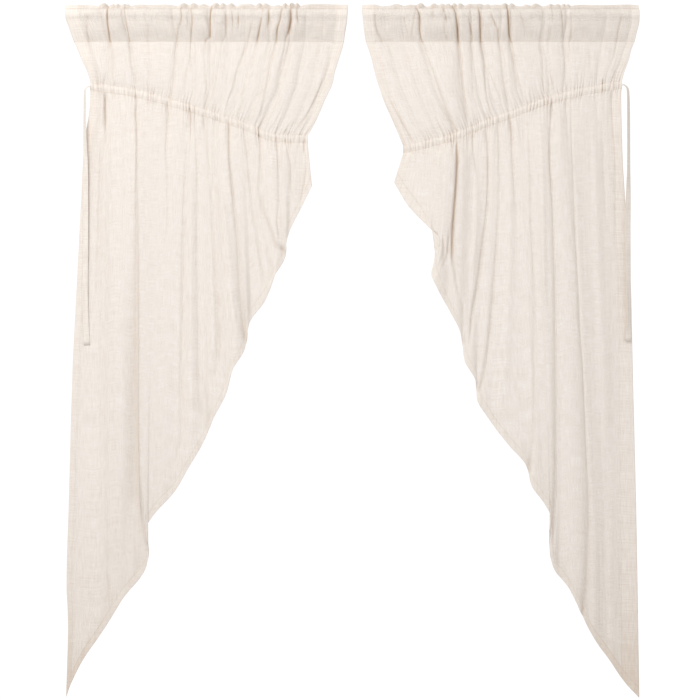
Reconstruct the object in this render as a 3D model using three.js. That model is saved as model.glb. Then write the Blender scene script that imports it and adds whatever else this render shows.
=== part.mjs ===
import * as THREE from 'three';

// A pair of long gathered swag curtain panels. Each is one cloth, folded over a plain rod at its top, drawn
// in along a slanting channel, and cut to a slanting hem that ends in a long point at its outer side.
// Millimetres, +Z up. The origin is on the rods' axis, halfway between the panels, and the fronts face -Y.
// In the tables, out is the distance from that middle, down is the distance below the rods' axis, and forward
// is the distance in front of it, so that both panels follow the same rules and only their side differs.

// Driving dimensions
const CLOTH = 2;
const FRONT_AND_BACK = 4;
const ROD_RADIUS = 17.5;
const ROD_SIDES = 24;
const ROD_INSET = 5;
const POCKET_RADIUS = 20.2;
const HEADER_STITCH = 20.5;
const HEADER_TOP = 30;
const POCKET_STITCH = 80;
const CHANNEL_HEIGHT = 24;
const STRIP = 1.5;
const STRIP_GAP = 0.4;
const TIE_WIDTH = 12;
const TIE_THICKNESS = 2;
const TIE_GAP = 0.8;
const TIE_STEPS = 36;

// Colours of the natural, undyed cloth and of the rod
const CLOTH_COLOUR = 0xefe6da;
const STRIP_COLOUR = 0xebe0d2;
const TIE_COLOUR = 0xeadfd1;
const ROD_COLOUR = 0xd9d4cc;
const CLOTH_ROUGHNESS = 0.95;
const ROD_ROUGHNESS = 0.45;

// How much of a gather's height is left at the stitching that flattens it, how far the skirt swells between
// its two lines of sewing, and how round a crest is: the cloth between a trough and a crest stands more than
// half as high as the crest does. A loop of the ruffle rises by a share of its gather's height.
const LEFT_AT_POCKET = 0.55;
const LEFT_AT_CHANNEL = 0.5;
const SKIRT_SWELL = 0.7;
const ROUNDNESS = 0.68;
const LOOP_RISE = 0.45;

// The pocket's cross-section from the header's top down its front. The back is the same, turned over.
// bulge is how much of a gather's height the cloth takes there, and wave how far the whole header sways.
const degrees = Math.PI / 180;
const POCKET_ROWS = [
  { forward: FRONT_AND_BACK / 2, down: -HEADER_TOP, bulge: 0, wave: 1, rise: LOOP_RISE },
  { forward: FRONT_AND_BACK / 2, down: -HEADER_STITCH, bulge: 0, wave: 0.4, rise: 0 },
  ...[45, 5, -35].map((angle) => ({
    forward: POCKET_RADIUS * Math.cos(angle * degrees),
    down: -POCKET_RADIUS * Math.sin(angle * degrees),
    bulge: 0.8,
    wave: 0,
    rise: 0,
  })),
  { forward: 10.5, down: 46, bulge: 1, wave: 0, rise: 0 },
  { forward: FRONT_AND_BACK / 2, down: POCKET_STITCH, bulge: LEFT_AT_POCKET, wave: 0, rise: 0 },
];

// How much of a gather's height the back takes, and the height of a gather that stays in the header's middle:
// higher ones sway to the back and lower ones to the front
const BACK_BULGE = 0.35;
const SWAY_MIDDLE = 4;

// Where the skirt's and the tail's rows lie, as shares of the way from one line of sewing to the next edge,
// and the share by which the tail's folds have opened out of the channel
const TAIL_OPEN = 0.13;
const SKIRT_ROWS = [0.25, 0.5, 0.75];
const TAIL_ROWS = [0.05, TAIL_OPEN, 0.26, 0.42, 0.6, 0.78, 0.92, 1];

// The folds of each panel, a row for each trough from the outer side to the inner side.
// pocket and channel: how far out the trough crosses them. hem: how far down it meets the slanting hem.
// pinch, skirt, tail and flare: its depth at the pocket, in the skirt, in the tail and at the hem.
const LEFT = {
  side: -1,
  outerSide: [
    { down: -34, out: 889 },
    { down: 9, out: 886 },
    { down: 37, out: 877 },
    { down: 74, out: 865 },
    { down: 101, out: 855 },
    { down: 138, out: 843 },
    { down: 175, out: 828 },
    { down: 212, out: 820 },
    { down: 236, out: 812 },
    { down: 290, out: 815 },
    { down: 395, out: 831 },
    { down: 580, out: 841 },
    { down: 800, out: 852 },
    { down: 1100, out: 867 },
    { down: 1500, out: 878 },
    { down: 1750, out: 885 },
    { down: 1860, out: 880 },
    { down: 2091, out: 886 },
  ],
  innerSide: [
    { down: -34, out: 21 },
    { down: 18, out: 25 },
    { down: 55, out: 31 },
    { down: 83, out: 34 },
    { down: 129, out: 46 },
    { down: 175, out: 59 },
    { down: 212, out: 66 },
    { down: 248, out: 82 },
    { down: 322, out: 113 },
    { down: 377, out: 143 },
  ],
  channel: [
    { out: 812, down: 218 },
    { out: 678, down: 238 },
    { out: 573, down: 265 },
    { out: 457, down: 300 },
    { out: 337, down: 340 },
    { out: 245, down: 374 },
    { out: 145, down: 380 },
  ],
  hem: [
    { down: 2091, out: 886 },
    { down: 2051, out: 871 },
    { down: 1978, out: 834 },
    { down: 1904, out: 782 },
    { down: 1794, out: 708 },
    { down: 1689, out: 632 },
    { down: 1646, out: 625 },
    { down: 1579, out: 635 },
    { down: 1536, out: 613 },
    { down: 1462, out: 549 },
    { down: 1389, out: 506 },
    { down: 1315, out: 463 },
    { down: 1242, out: 432 },
    { down: 1162, out: 392 },
    { down: 1095, out: 374 },
    { down: 1021, out: 334 },
    { down: 947, out: 322 },
    { down: 874, out: 273 },
    { down: 800, out: 245 },
    { down: 745, out: 215 },
    { down: 690, out: 208 },
    { down: 579, out: 159 },
    { down: 524, out: 132 },
  ],
  folds: [
    { pocket: 816, channel: 788, hem: 2039, pinch: 4, skirt: 7, tail: 8, flare: 8 },
    { pocket: 754, channel: 766, hem: 1886, pinch: 15, skirt: 9, tail: 12, flare: 10 },
    { pocket: 693, channel: 671, hem: 1757, pinch: 12, skirt: 9, tail: 26, flare: 16 },
    { pocket: 622, channel: 622, hem: 1625, pinch: 3, skirt: 4, tail: 4, flare: 34 },
    { pocket: 546, channel: 573, hem: 1540, pinch: 11, skirt: 9, tail: 14, flare: 14 },
    { pocket: 497, channel: 506, hem: 1470, pinch: 6, skirt: 8, tail: 20, flare: 16 },
    { pocket: 442, channel: 460, hem: 1315, pinch: 16, skirt: 8, tail: 12, flare: 15 },
    { pocket: 389, channel: 426, hem: 1180, pinch: 7, skirt: 5, tail: 14, flare: 22 },
    { pocket: 334, channel: 386, hem: 1021, pinch: 6, skirt: 10, tail: 22, flare: 28 },
    { pocket: 260, channel: 336, hem: 930, pinch: 13, skirt: 9, tail: 8, flare: 10 },
    { pocket: 199, channel: 293, hem: 850, pinch: 18, skirt: 14, tail: 16, flare: 14 },
    { pocket: 153, channel: 238, hem: 752, pinch: 4, skirt: 9, tail: 16, flare: 26 },
    { pocket: 101, channel: 198, hem: 668, pinch: 3, skirt: 7, tail: 8, flare: 10 },
    { pocket: 60, channel: 165, hem: 590, pinch: 3, skirt: 6, tail: 6, flare: 6 },
  ],
  tie: [
    { out: 812, down: 219, forward: 4 },
    { out: 817, down: 219, forward: 4 },
    { out: 826, down: 225, forward: 4 },
    { out: 829, down: 236, forward: 6 },
    { out: 829, down: 280, forward: 8 },
    { out: 829, down: 322, forward: 10 },
    { out: 827, down: 392, forward: 10 },
    { out: 823, down: 460, forward: 10 },
    { out: 822, down: 567, forward: 10 },
    { out: 822, down: 660, forward: 11 },
    { out: 821, down: 751, forward: 14 },
    { out: 820, down: 850, forward: 16 },
    { out: 819, down: 935, forward: 17 },
    { out: 819, down: 1012, forward: 17 },
  ],
};

const RIGHT = {
  side: 1,
  outerSide: [
    { down: -34, out: 871 },
    { down: 18, out: 871 },
    { down: 49, out: 865 },
    { down: 80, out: 858 },
    { down: 107, out: 849 },
    { down: 138, out: 843 },
    { down: 175, out: 831 },
    { down: 212, out: 823 },
    { down: 236, out: 817 },
    { down: 432, out: 821 },
    { down: 537, out: 827 },
    { down: 659, out: 836 },
    { down: 812, out: 846 },
    { down: 1119, out: 853 },
    { down: 1487, out: 862 },
    { down: 1763, out: 867 },
    { down: 2094, out: 872 },
  ],
  innerSide: [
    { down: -34, out: 21 },
    { down: 18, out: 25 },
    { down: 46, out: 28 },
    { down: 83, out: 34 },
    { down: 120, out: 46 },
    { down: 175, out: 59 },
    { down: 248, out: 81 },
    { down: 322, out: 113 },
    { down: 408, out: 148 },
  ],
  channel: [
    { out: 819, down: 213 },
    { out: 763, down: 221 },
    { out: 598, down: 259 },
    { out: 478, down: 304 },
    { out: 405, down: 330 },
    { out: 297, down: 374 },
    { out: 148, down: 411 },
  ],
  hem: [
    { down: 2094, out: 872 },
    { down: 2051, out: 831 },
    { down: 1978, out: 779 },
    { down: 1904, out: 727 },
    { down: 1830, out: 690 },
    { down: 1757, out: 653 },
    { down: 1689, out: 604 },
    { down: 1628, out: 592 },
    { down: 1542, out: 598 },
    { down: 1499, out: 579 },
    { down: 1438, out: 537 },
    { down: 1389, out: 527 },
    { down: 1315, out: 466 },
    { down: 1242, out: 411 },
    { down: 1168, out: 371 },
    { down: 1131, out: 371 },
    { down: 1058, out: 334 },
    { down: 984, out: 325 },
    { down: 911, out: 291 },
    { down: 837, out: 251 },
    { down: 794, out: 233 },
    { down: 727, out: 254 },
    { down: 690, out: 261 },
    { down: 653, out: 227 },
    { down: 579, out: 159 },
    { down: 512, out: 120 },
  ],
  folds: [
    { pocket: 837, channel: 793, hem: 2039, pinch: 3, skirt: 5, tail: 8, flare: 8 },
    { pocket: 760, channel: 742, hem: 1962, pinch: 5, skirt: 7, tail: 8, flare: 8 },
    { pocket: 641, channel: 650, hem: 1879, pinch: 15, skirt: 8, tail: 18, flare: 14 },
    { pocket: 576, channel: 604, hem: 1732, pinch: 6, skirt: 10, tail: 24, flare: 14 },
    { pocket: 518, channel: 552, hem: 1600, pinch: 5, skirt: 7, tail: 8, flare: 32 },
    { pocket: 475, channel: 514, hem: 1500, pinch: 17, skirt: 10, tail: 10, flare: 14 },
    { pocket: 446, channel: 478, hem: 1400, pinch: 8, skirt: 8, tail: 16, flare: 16 },
    { pocket: 388, channel: 442, hem: 1250, pinch: 15, skirt: 9, tail: 9, flare: 10 },
    { pocket: 356, channel: 405, hem: 1150, pinch: 12, skirt: 7, tail: 16, flare: 20 },
    { pocket: 316, channel: 350, hem: 1020, pinch: 18, skirt: 14, tail: 10, flare: 16 },
    { pocket: 202, channel: 307, hem: 890, pinch: 14, skirt: 15, tail: 32, flare: 18 },
    { pocket: 150, channel: 259, hem: 757, pinch: 3, skirt: 8, tail: 12, flare: 34 },
    { pocket: 100, channel: 218, hem: 635, pinch: 2, skirt: 6, tail: 10, flare: 8 },
    { pocket: 58, channel: 172, hem: 537, pinch: 3, skirt: 5, tail: 6, flare: 6 },
  ],
  tie: [
    { out: 819, down: 214, forward: 4 },
    { out: 825, down: 214, forward: 4 },
    { out: 833, down: 221, forward: 4 },
    { out: 837, down: 236, forward: 6 },
    { out: 837, down: 290, forward: 9 },
    { out: 837, down: 350, forward: 12 },
    { out: 837, down: 410, forward: 12 },
    { out: 837, down: 480, forward: 11 },
    { out: 837, down: 567, forward: 11 },
    { out: 837, down: 660, forward: 11 },
    { out: 836, down: 751, forward: 11 },
    { out: 834, down: 850, forward: 11 },
    { out: 834, down: 920, forward: 11 },
    { out: 834, down: 1000, forward: 11 },
  ],
};

const mix = (a, b, share) => a + (b - a) * share;

// The value of one column of a table where another column has the given value, straight between its rows
function readTable(table, knownColumn, known, wantedColumn) {
  const rising = table[table.length - 1][knownColumn] > table[0][knownColumn];
  const rows = rising ? table : [...table].reverse();
  if (known <= rows[0][knownColumn]) return rows[0][wantedColumn];
  for (let i = 1; i < rows.length; i += 1) {
    const [before, after] = [rows[i - 1], rows[i]];
    if (known <= after[knownColumn]) {
      const share = (known - before[knownColumn]) / (after[knownColumn] - before[knownColumn]);
      return mix(before[wantedColumn], after[wantedColumn], share);
    }
  }
  return rows[rows.length - 1][wantedColumn];
}

// The lines that run down a panel: its two side edges, each trough, the crest between two troughs, and one
// line between each of those. A line's lifts say how far it stands in front of the troughs at each level.
function fallLines(panel) {
  const atStitch = (table) => readTable(table, 'down', POCKET_STITCH, 'out');
  const first = panel.folds[0];
  const last = panel.folds[panel.folds.length - 1];
  const edge = (pocket, channelEnd, hemEnd, fold) => ({
    pocket,
    channel: channelEnd.out,
    hem: hemEnd.down,
    pinch: fold.pinch / 2,
    skirt: fold.skirt / 2,
    tail: fold.tail / 2,
    flare: fold.flare / 2,
  });
  const trough = (fold) => ({ ...fold, pinch: 0, skirt: 0, tail: 0, flare: 0 });
  const between = (a, b, liftOf) => {
    const line = {};
    for (const place of ['pocket', 'channel', 'hem']) line[place] = mix(a[place], b[place], 0.5);
    for (const level of ['pinch', 'skirt', 'tail', 'flare']) line[level] = liftOf(a[level], b[level]);
    return line;
  };
  const main = [edge(atStitch(panel.outerSide), panel.channel[0], panel.hem[0], first)];
  panel.folds.forEach((fold, i) => {
    main.push(trough(fold));
    const next = panel.folds[i + 1];
    if (next) main.push(between(fold, next, (a, b) => (a + b) / 2));
  });
  const [channelEnd, hemEnd] = [panel.channel[panel.channel.length - 1], panel.hem[panel.hem.length - 1]];
  main.push(edge(atStitch(panel.innerSide), channelEnd, hemEnd, last));

  const lines = [main[0]];
  for (let i = 1; i < main.length; i += 1) {
    lines.push(between(main[i - 1], main[i], (a, b) => Math.max(a, b) * ROUNDNESS));
    lines.push(main[i]);
  }
  return lines;
}

// How far the outer side of the tail hangs beyond a straight line from the channel to the tip
function sideBend(panel, down) {
  const [top, tip] = [panel.channel[0], panel.hem[0]];
  const straight = mix(top.out, tip.out, (down - top.down) / (tip.down - top.down));
  return readTable(panel.outerSide, 'down', down, 'out') - straight;
}

// The middle of the cloth, as rows of points: up the back of the pocket, over the header and down the front
function clothRows(panel) {
  const lines = fallLines(panel);
  const place = (out, down, forward) => new THREE.Vector3(panel.side * out, -forward, -down);
  const width = (down) => {
    const outer = readTable(panel.outerSide, 'down', down, 'out');
    const inner = readTable(panel.innerSide, 'down', down, 'out');
    return { at: (share) => mix(outer, inner, share), shareOf: (out) => (outer - out) / (outer - inner) };
  };
  const stitchWidth = width(POCKET_STITCH);

  const pocketPoint = (line, row, facing) => {
    const bulge = line.pinch * row.bulge * (facing > 0 ? 1 : BACK_BULGE);
    const wave = (line.pinch - SWAY_MIDDLE) * row.wave;
    const down = row.down - line.pinch * row.rise;
    const out = width(down).at(stitchWidth.shareOf(line.pocket));
    return place(out, down, facing * (row.forward + bulge) + wave);
  };
  const skirtPoint = (line, share) => {
    const channelDown = readTable(panel.channel, 'out', line.channel, 'down') - CHANNEL_HEIGHT / 2;
    const down = mix(POCKET_STITCH, channelDown, share);
    const endShare = width(channelDown).shareOf(line.channel);
    const out = width(down).at(mix(stitchWidth.shareOf(line.pocket), endShare, share));
    const belly = 4 * share * (1 - share);
    const [atPocket, atChannel] = [line.pinch * LEFT_AT_POCKET, line.skirt * LEFT_AT_CHANNEL];
    const lift = mix(atPocket, atChannel, share) + line.skirt * belly * SKIRT_SWELL;
    return place(out, down, FRONT_AND_BACK / 2 + lift);
  };
  const channelPoint = (line, half) => {
    const middle = readTable(panel.channel, 'out', line.channel, 'down');
    const lift = line.skirt * LEFT_AT_CHANNEL;
    return place(line.channel, middle + half * CHANNEL_HEIGHT / 2, FRONT_AND_BACK / 2 + lift);
  };
  const tailPoint = (line, share) => {
    const top = readTable(panel.channel, 'out', line.channel, 'down') + CHANNEL_HEIGHT / 2;
    const down = mix(top, line.hem, share);
    const [outerEnd, innerEnd] = [lines[0].channel, lines[lines.length - 1].channel];
    const inward = (outerEnd - line.channel) / (outerEnd - innerEnd);
    const hemOut = readTable(panel.hem, 'down', line.hem, 'out');
    const out = mix(line.channel, hemOut, share) + sideBend(panel, down) * (1 - inward) ** 2 * (share < 1);
    const open = Math.min(share / TAIL_OPEN, 1);
    const lift = mix(line.skirt * LEFT_AT_CHANNEL, mix(line.tail, line.flare, share ** 3), open);
    return place(out, down, FRONT_AND_BACK / 2 + lift);
  };

  const front = POCKET_ROWS.map((row) => lines.map((line) => pocketPoint(line, row, 1)));
  const back = POCKET_ROWS.map((row) => lines.map((line) => pocketPoint(line, row, -1))).reverse();
  const fold = lines.map((line) => pocketPoint(
    line, { forward: 0, down: -HEADER_TOP - FRONT_AND_BACK / 2, bulge: 0, wave: 1, rise: LOOP_RISE }, 1,
  ));
  const skirt = SKIRT_ROWS.map((share) => lines.map((line) => skirtPoint(line, share)));
  const channel = [-1, 1].map((half) => lines.map((line) => channelPoint(line, half)));
  const tail = TAIL_ROWS.map((share) => lines.map((line) => tailPoint(line, share)));
  return {
    rows: [...back, fold, ...front, ...skirt, ...channel, ...tail],
    channelRow: back.length + 1 + front.length + skirt.length,
  };
}

// The direction out of the cloth's outer face at each point of its rows
function faceDirections(rows, side) {
  const near = (list, i, step) => list[Math.min(Math.max(i + step, 0), list.length - 1)];
  return rows.map((row, j) => row.map((_, i) => {
    const across = near(row, i, 1).clone().sub(near(row, i, -1));
    const along = near(rows, j, 1)[i].clone().sub(near(rows, j, -1)[i]);
    return across.cross(along).normalize().multiplyScalar(side);
  }));
}

// One closed sheet between two depths in front of the rows' points: a box whose corners are moved onto them
function sheetSolid(rows, directions, side, frontDepth, backDepth) {
  const [across, along] = [rows[0].length - 1, rows.length - 1];
  const geometry = new THREE.BoxGeometry(1, 1, 1, across, along, 1);
  const position = geometry.attributes.position;
  for (let n = 0; n < position.count; n += 1) {
    const i = Math.round((position.getX(n) + 0.5) * across);
    const j = Math.round((side * position.getY(n) + 0.5) * along);
    const depth = position.getZ(n) > 0 ? frontDepth : backDepth;
    const point = rows[j][i].clone().addScaledVector(directions[j][i], depth);
    position.setXYZ(n, point.x, point.y, point.z);
  }
  geometry.computeVertexNormals();
  return geometry;
}

// A flat tie that keeps its face to the front: a strip with eight sides, run along a curve
function tieSolid(panel) {
  const points = panel.tie.map(({ out, down, forward }) => (
    new THREE.Vector3(panel.side * out, -forward, -down)
  ));
  points[0].x += panel.side * TIE_GAP;
  const [w, t, corner] = [TIE_WIDTH / 2, TIE_THICKNESS / 2, TIE_THICKNESS / 4];
  const section = new THREE.Shape([
    new THREE.Vector2(t, w - corner),
    new THREE.Vector2(t - corner, w),
    new THREE.Vector2(corner - t, w),
    new THREE.Vector2(-t, w - corner),
    new THREE.Vector2(-t, corner - w),
    new THREE.Vector2(corner - t, -w),
    new THREE.Vector2(t - corner, -w),
    new THREE.Vector2(t, corner - w),
  ]);
  const path = new THREE.CatmullRomCurve3(points);
  return new THREE.ExtrudeGeometry(section, { steps: TIE_STEPS, bevelEnabled: false, extrudePath: path });
}

function addMesh(group, name, geometry, colour, roughness) {
  const material = new THREE.MeshStandardMaterial({ color: colour, roughness, metalness: 0 });
  const mesh = new THREE.Mesh(geometry, material);
  mesh.name = name;
  group.add(mesh);
  return mesh;
}

function addRod(group, name, panel) {
  const outerEnd = readTable(panel.outerSide, 'down', 0, 'out') - ROD_INSET;
  const innerEnd = readTable(panel.innerSide, 'down', ROD_RADIUS, 'out') + ROD_INSET;
  const shape = new THREE.CylinderGeometry(ROD_RADIUS, ROD_RADIUS, outerEnd - innerEnd, ROD_SIDES);
  const rod = addMesh(group, name, shape, ROD_COLOUR, ROD_ROUGHNESS);
  rod.rotation.z = Math.PI / 2;
  rod.position.x = panel.side * (outerEnd + innerEnd) / 2;
}

const curtain = new THREE.Group();
for (const [hand, panel] of Object.entries({ left: LEFT, right: RIGHT })) {
  const { rows, channelRow } = clothRows(panel);
  const directions = faceDirections(rows, panel.side);
  const cloth = sheetSolid(rows, directions, panel.side, CLOTH / 2, -CLOTH / 2);
  addMesh(curtain, `panel_${hand}`, cloth, CLOTH_COLOUR, CLOTH_ROUGHNESS);

  const channelRows = rows.slice(channelRow, channelRow + 2);
  const channelDirections = directions.slice(channelRow, channelRow + 2);
  const stripFront = -CLOTH / 2 - STRIP_GAP;
  const strip = sheetSolid(channelRows, channelDirections, panel.side, stripFront, stripFront - STRIP);
  addMesh(curtain, `channel_strip_${hand}`, strip, STRIP_COLOUR, CLOTH_ROUGHNESS);

  addMesh(curtain, `tie_${hand}`, tieSolid(panel), TIE_COLOUR, CLOTH_ROUGHNESS);
  addRod(curtain, `rod_${hand}`, panel);
}

export default curtain;
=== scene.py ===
import bisect
import math

import bmesh
import bpy
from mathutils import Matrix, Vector, noise


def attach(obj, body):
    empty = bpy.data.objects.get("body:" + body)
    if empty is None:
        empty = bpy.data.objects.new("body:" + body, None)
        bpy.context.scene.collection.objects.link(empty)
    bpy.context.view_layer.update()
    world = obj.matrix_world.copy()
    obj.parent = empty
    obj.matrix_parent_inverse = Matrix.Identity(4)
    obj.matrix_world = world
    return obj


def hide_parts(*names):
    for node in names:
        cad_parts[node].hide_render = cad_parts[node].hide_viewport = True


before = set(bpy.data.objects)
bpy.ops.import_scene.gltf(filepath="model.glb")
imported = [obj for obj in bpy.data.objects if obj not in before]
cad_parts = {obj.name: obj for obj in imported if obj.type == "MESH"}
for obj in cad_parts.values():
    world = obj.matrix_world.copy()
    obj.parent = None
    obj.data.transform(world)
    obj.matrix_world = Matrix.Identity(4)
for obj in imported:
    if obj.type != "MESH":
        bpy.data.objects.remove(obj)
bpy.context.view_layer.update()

# The view is square on, from the height of the middle of the drop, six metres away through a long lens, so
# that the side hems stay upright. Lengths here are in metres, and the origin is on the rods, halfway between
# the panels.
CAMERA_PLACE = (-0.0153, -5.97, -1.027)
LONG_LENS = 100
FILM_WIDTH = 36

camera_data = bpy.data.cameras.new("camera")
camera_data.lens = LONG_LENS
camera_data.sensor_width = FILM_WIDTH
camera = bpy.data.objects.new("camera", camera_data)
camera.location = CAMERA_PLACE
camera.rotation_euler = (math.radians(90), 0, 0)
bpy.context.scene.collection.objects.link(camera)
bpy.context.scene.camera = camera

# The ties: a flat cotton tape, folded in and stitched, that draws the cloth in. Each comes out of the outer
# mouth of its channel and hangs free beside the side hem, then in front of it, to a square cut end.
MM = 0.001
SIDES = {"left": -1, "right": 1}
TIE_WIDTH = 19
TIE_THICKNESS = 1.6
TIE_CORNERS = 20
TIE_SQUARENESS = 0.35
TIE_RINGS_PER_POINT = 5
# Out from the middle of the pair, down below the rods and forward of them, in mm, and how far the tape is
# turned from flat, in degrees: its inner edge comes forward, so that it looks narrow
TIE_ROUTES = {
    "left": (
        (812.8, 219, 4, 76), (817, 219, 5, 74), (825, 225, 7, 70), (828, 236, 9, 66), (828, 280, 11, 63),
        (828, 322, 13, 60), (827, 392, 14, 52), (825, 460, 14, 38), (825, 567, 14, 30), (825, 660, 14, 26),
        (826, 751, 14, 24), (827, 850, 14, 18), (825, 935, 14, 10), (821, 1012, 13, 2),
    ),
    "right": (
        (819.8, 214, 4, 74), (825, 214, 6, 70), (833, 221, 8, 64), (837, 236, 10, 60), (838, 290, 12, 56),
        (838, 350, 14, 54), (838, 410, 15, 54), (838, 480, 15, 50), (837, 567, 14, 30), (836, 660, 14, 26),
        (837, 751, 14, 32), (838, 850, 14, 40), (839, 935, 14, 48), (836, 1000, 12, 6),
    ),
}
# The tape's yarn: its pitch in mm, the share of that it wanders by, and its colours. Then how often in a
# metre any yarn's wander, and its tone across and along it, change
TAPE_PITCH = 0.9
TAPE_WANDER = 0.3
TAPE_DARK = (0.80, 0.72, 0.645, 1)
TAPE_LIGHT = (0.91, 0.845, 0.775, 1)
TAPE_TONES = (0.35, 0.65)
YARN_WANDERS = 90.0
TONES_ACROSS = 420
TONES_ALONG = 22


def hang_point(side, out, down, forward):
    """The point this far out from the middle of the pair, down below the rods and forward of them, in mm."""
    return Vector((side * out, -forward, -down)) * MM


def through(points, steps):
    """A smooth route through points, with this many steps from each to the next."""
    ends = [2 * points[0] - points[1], *points, 2 * points[-1] - points[-2]]
    route = []
    for a, b, c, d in zip(ends, ends[1:], ends[2:], ends[3:]):
        for step in range(steps):
            t = step / steps
            route.append(0.5 * (2 * b + (c - a) * t + (2 * a - 5 * b + 4 * c - d) * t ** 2
                                + (3 * b - a - 3 * c + d) * t ** 3))
    return route + [points[-1].copy()]


def as_piece(name, shape, rounded):
    """A finished shape as an object in the scene, shaded smooth on the faces that are rounded."""
    mesh = bpy.data.meshes.new(name)
    shape.to_mesh(mesh)
    shape.free()
    mesh.polygons.foreach_set("use_smooth", [rounded(face) for face in mesh.polygons])
    piece = bpy.data.objects.new(name, mesh)
    bpy.context.scene.collection.objects.link(piece)
    return piece


def cloth_grid(name, rows, weave, closed_across=False, mirrored=False):
    """A mesh grid whose corners are moved onto the rows of points, with the weave's own map in metres."""
    across, along = len(rows[0]) - 1, len(rows) - 1
    cloth = bmesh.new()
    bmesh.ops.create_grid(cloth, x_segments=across, y_segments=along, size=1)
    weave_map = cloth.loops.layers.uv.new("weave")
    place = {}
    for corner in cloth.verts:
        i = round((corner.co.x + 1) / 2 * across)
        j = round((1 - corner.co.y) / 2 * along)
        place[corner] = (j, i)
    for face in cloth.faces:
        for loop in face.loops:
            j, i = place[loop.vert]
            loop[weave_map].uv = weave[j][i]
    for corner, (j, i) in place.items():
        corner.co = rows[j][i]
    if mirrored:
        bmesh.ops.reverse_faces(cloth, faces=cloth.faces)
    if closed_across:
        bmesh.ops.remove_doubles(cloth, verts=cloth.verts, dist=1e-6)
        bmesh.ops.holes_fill(cloth, edges=[e for e in cloth.edges if e.is_boundary], sides=0)
        bmesh.ops.recalc_face_normals(cloth, faces=cloth.faces)
    return as_piece(name, cloth, lambda face: True)


def add(tree, kind, inputs, **settings):
    """A shader node with its settings, and its sockets set to values or joined to other nodes' sockets."""
    made = tree.nodes.new(kind)
    for name, value in settings.items():
        setattr(made, name, value)
    for socket, value in inputs.items():
        if isinstance(value, bpy.types.NodeSocket):
            tree.links.new(value, made.inputs[socket])
        else:
            made.inputs[socket].default_value = value
    return made


def reckon(tree, operation, first, second=0.0, third=0.0):
    """The result of one sum on values or sockets."""
    return add(tree, "ShaderNodeMath", {0: first, 1: second, 2: third}, operation=operation).outputs[0]


def smooth_step(tree, value, low, high):
    """0 below low, 1 above high, and an even change between them."""
    return add(tree, "ShaderNodeMapRange", {"Value": value, "From Min": low, "From Max": high},
               interpolation_type="SMOOTHSTEP").outputs[0]


def blend(tree, share, first, second, how="MIX"):
    """A colour between two others, or one tinted with the other."""
    return add(tree, "ShaderNodeMix", {0: share, 6: first, 7: second}, data_type="RGBA",
               blend_type=how).outputs[2]


def speckle(tree, place, scale, detail):
    """Noise from 0 to 1 that changes this many times in a metre."""
    return add(tree, "ShaderNodeTexNoise", {"Vector": place, "Scale": scale, "Detail": detail})


def start_material(name):
    """A new material, with its nodes and its shader."""
    material = bpy.data.materials.new(name)
    material.use_nodes = True
    return material, material.node_tree, material.node_tree.nodes["Principled BSDF"]


def finish_material(tree, shader, colour, height, strength, relief, roughness, shine):
    """Gives the shader its colour, its relief in mm, its roughness and its shine."""
    tree.links.new(colour, shader.inputs["Base Color"])
    bump = add(tree, "ShaderNodeBump", {"Height": height, "Strength": strength, "Distance": relief * MM})
    tree.links.new(bump.outputs[0], shader.inputs["Normal"])
    shader.inputs["Roughness"].default_value = roughness
    shader.inputs["Specular IOR Level"].default_value = shine


def plain_weave(tree, pitch, wander):
    """The threads of a plain weave: how high they stand, how they cover the gaps, and their uneven tone."""
    pitch = pitch * MM
    flat = add(tree, "ShaderNodeUVMap", {}, uv_map="weave").outputs[0]
    drift = speckle(tree, flat, YARN_WANDERS, 2.0).outputs["Color"]
    drift = add(tree, "ShaderNodeVectorMath", {0: drift, 1: (-0.5, -0.5, -0.5)}, operation="ADD").outputs[0]
    bent = add(tree, "ShaderNodeVectorMath", {0: drift, 1: (wander * pitch,) * 3, 2: flat},
               operation="MULTIPLY_ADD").outputs[0]
    split = add(tree, "ShaderNodeSeparateXYZ", {0: bent})
    warp = reckon(tree, "SINE", reckon(tree, "MULTIPLY", split.outputs[0], math.pi / pitch))
    weft = reckon(tree, "SINE", reckon(tree, "MULTIPLY", split.outputs[1], math.pi / pitch))
    crossing = reckon(tree, "MULTIPLY", reckon(tree, "MULTIPLY", warp, weft), 0.5)
    warp_size, weft_size = reckon(tree, "ABSOLUTE", warp), reckon(tree, "ABSOLUTE", weft)
    over = reckon(tree, "MULTIPLY", warp_size, reckon(tree, "ADD", crossing, 1.0))
    under = reckon(tree, "MULTIPLY", weft_size, reckon(tree, "SUBTRACT", 1.0, crossing))
    height = reckon(tree, "MAXIMUM", over, under)
    cover = reckon(tree, "MAXIMUM", warp_size, weft_size)

    def slubs(stretch):
        long_way = add(tree, "ShaderNodeVectorMath", {0: flat, 1: stretch}, operation="MULTIPLY").outputs[0]
        return speckle(tree, long_way, 1.0, 3.0).outputs[0]

    tone = reckon(tree, "ADD", slubs((TONES_ACROSS, TONES_ALONG, 1)), slubs((TONES_ALONG, TONES_ACROSS, 1)))
    return flat, height, cover, reckon(tree, "MULTIPLY", tone, 0.5)


def tape_material():
    """Close-woven natural cotton tape, matte."""
    material, tree, shader = start_material("tie_tape")
    _, height, _, tone = plain_weave(tree, TAPE_PITCH, TAPE_WANDER)
    colour = blend(tree, smooth_step(tree, tone, *TAPE_TONES), TAPE_DARK, TAPE_LIGHT)
    finish_material(tree, shader, colour, height, strength=0.5, relief=0.3, roughness=0.92, shine=0.15)
    return material


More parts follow.
